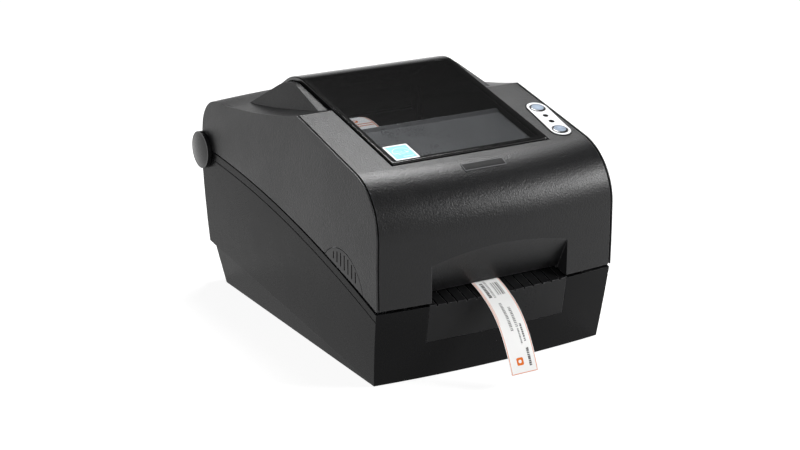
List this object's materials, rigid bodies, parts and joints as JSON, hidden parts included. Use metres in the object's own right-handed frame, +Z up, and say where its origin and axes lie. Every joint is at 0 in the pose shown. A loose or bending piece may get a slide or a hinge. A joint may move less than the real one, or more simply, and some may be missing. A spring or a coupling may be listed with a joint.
{
  "type": "thermal label printer",
  "caption": "Desktop thermal label printer with a hinged cover over the label roll, a platen and head at the front exit, and ports at the rear.",
  "frame": {"origin": "centre of the footprint's bounding box at the underside of the feet", "axes": "+Z up, -Y towards the label exit at the front, +X to the right seen from the front"},
  "size_m": [0.2254, 0.3621, 0.1976],
  "materials": {
    "cover_black": "fine-grained satin black moulding",
    "base_black": "smooth satin black moulding",
    "frame_black": "matt black moulding",
    "insert_black": "semi-gloss black moulding",
    "knob_black": "gloss black dome with a dark rim",
    "smoked_window": "smoked transparent moulding, polished",
    "panel_white": "satin white with a thin dark outline",
    "button_silver": "silver-blue painted button",
    "lamp_dark": "unlit indicator lens",
    "release_black": "satin black with finger grooves",
    "rubber_black": "matt",
    "platen_rubber": "ground matt rubber sleeve",
    "steel": "machined",
    "zinc_plate": "zinc-plated sheet",
    "motor_metal": "black lacquered motor case with bright end caps",
    "gear_white": "natural acetal",
    "bush_ivory": "natural acetal",
    "paper_labels": "coated white label paper with orange rules",
    "card_core": "wound board",
    "guide_grey": "satin dark grey",
    "board_green": "solder-masked circuit board",
    "heat_alloy": "extruded and sawn",
    "head_ceramic": "glazed heater strip on ceramic",
    "port_steel": "nickel-plated shell",
    "port_black": "moulded insulator"
  },
  "bodies": {
    "base": {"base_housing": "base_black", "bottom_plate": "frame_black", "rubber_feet": "rubber_black", "case_screws": "steel", "inner_frame": "frame_black", "media_well": "frame_black", "light_shields": "frame_black", "pinion_stud": "steel", "platen_bushes": "bush_ivory", "drive_plate": "zinc_plate", "bush_plate": "frame_black", "drive_motor": "motor_metal", "exit_panel": "insert_black", "tear_bar": "steel", "main_board": "board_green", "rear_panel": "zinc_plate", "interface_board": "board_green", "power_jack": "port_black", "usb_port": "port_steel", "network_port": "port_steel", "serial_port": "port_steel", "switch_frame": "port_black", "hinge_cap_left": "knob_black", "hinge_cap_right": "knob_black", "label_strip": "paper_labels"},
    "cover": {"top_cover": "cover_black", "window": "smoked_window", "head_carrier": "frame_black", "print_head": "head_ceramic", "head_heatsink": "heat_alloy", "head_pivot": "steel", "control_panel": "panel_white", "status_lights": "lamp_dark", "panel_board": "board_green", "latch_bracket_left": "zinc_plate", "latch_bracket_right": "zinc_plate"},
    "release_left": {"release_button_left": "release_black"},
    "release_right": {"release_button_right": "release_black"},
    "latch_left": {"latch_hook_left": "steel"},
    "latch_right": {"latch_hook_right": "steel"},
    "feed_key": {"feed_button": "button_silver"},
    "pause_key": {"pause_button": "button_silver"},
    "platen": {"platen_shaft": "steel", "platen_roller": "platen_rubber", "platen_gear": "gear_white"},
    "idler": {"idler_gear": "gear_white"},
    "motor_rotor": {"motor_pinion": "gear_white", "motor_shaft": "steel"},
    "roll": {"label_roll": "paper_labels", "roll_core": "card_core"},
    "guide_left": {"media_guide_left": "guide_grey"},
    "guide_right": {"media_guide_right": "guide_grey"},
    "centring": {"centring_pinion": "gear_white"},
    "rocker": {"power_rocker": "port_black"}
  },
  "joints": [
    {"name": "cover_hinge", "type": "hinge", "parent": "base", "child": "cover", "pos_m": [0, 0.16505, 0.115], "axis": [-1, 0, 0], "range_deg": [0, 85]},
    {"name": "release_left_slide", "type": "slide", "parent": "cover", "child": "release_left", "axis": [1, 0, 0], "range_m": [0, 0.003], "stiffness_N_per_m": 600, "springref_m": -0.001},
    {"name": "release_right_slide", "type": "slide", "parent": "cover", "child": "release_right", "axis": [-1, 0, 0], "range_m": [0, 0.003], "stiffness_N_per_m": 600, "springref_m": -0.001},
    {"name": "latch_left_pivot", "type": "hinge", "parent": "cover", "child": "latch_left", "pos_m": [-0.0965, -0.08645, 0.099], "axis": [0, -1, 0], "range_deg": [0, 12.8]},
    {"name": "latch_right_pivot", "type": "hinge", "parent": "cover", "child": "latch_right", "pos_m": [0.0965, -0.08645, 0.099], "axis": [0, 1, 0], "range_deg": [0, 12.8]},
    {"name": "feed_press", "type": "slide", "parent": "cover", "child": "feed_key", "axis": [0, 0.2192, -0.9757], "range_m": [0, 0.0012], "stiffness_N_per_m": 500, "springref_m": -0.0008},
    {"name": "pause_press", "type": "slide", "parent": "cover", "child": "pause_key", "axis": [0, 0.2192, -0.9757], "range_m": [0, 0.0012], "stiffness_N_per_m": 500, "springref_m": -0.0008},
    {"name": "platen_spin", "type": "hinge", "parent": "base", "child": "platen", "pos_m": [0, -0.10695, 0.062], "axis": [1, 0, 0], "continuous": true},
    {"name": "idler_spin", "type": "hinge", "parent": "base", "child": "idler", "pos_m": [-0.0715, -0.08344, 0.05409], "axis": [1, 0, 0], "continuous": true},
    {"name": "pinion_spin", "type": "hinge", "parent": "base", "child": "motor_rotor", "pos_m": [-0.0715, -0.06844, 0.03855], "axis": [1, 0, 0], "continuous": true},
    {"name": "roll_spin", "type": "hinge", "parent": "base", "child": "roll", "pos_m": [-0.0055, 0.07805, 0.089], "axis": [1, 0, 0], "continuous": true},
    {"name": "guide_left_slide", "type": "slide", "parent": "base", "child": "guide_left", "axis": [-1, 0, 0], "range_m": [0, 0.036]},
    {"name": "guide_right_slide", "type": "slide", "parent": "base", "child": "guide_right", "axis": [1, 0, 0], "range_m": [0, 0.036]},
    {"name": "centring_spin", "type": "hinge", "parent": "base", "child": "centring", "pos_m": [-0.0055, 0.07805, 0.02], "axis": [0, 0, 1], "range_deg": [-258, 0]},
    {"name": "rocker_tilt", "type": "hinge", "parent": "base", "child": "rocker", "pos_m": [0.074, 0.15545, 0.052], "axis": [-1, 0, 0], "range_deg": [0, 14]}
  ],
  "couplings": [
    {"joint": "latch_left_pivot", "follows": "release_left_slide", "rad_per_m": 74},
    {"joint": "latch_right_pivot", "follows": "release_right_slide", "rad_per_m": 74},
    {"joint": "idler_spin", "follows": "platen_spin", "ratio": -0.55},
    {"joint": "pinion_spin", "follows": "platen_spin", "ratio": 1.5714},
    {"joint": "guide_right_slide", "follows": "guide_left_slide", "ratio": 1},
    {"joint": "centring_spin", "follows": "guide_left_slide", "rad_per_m": -125}
  ]
}
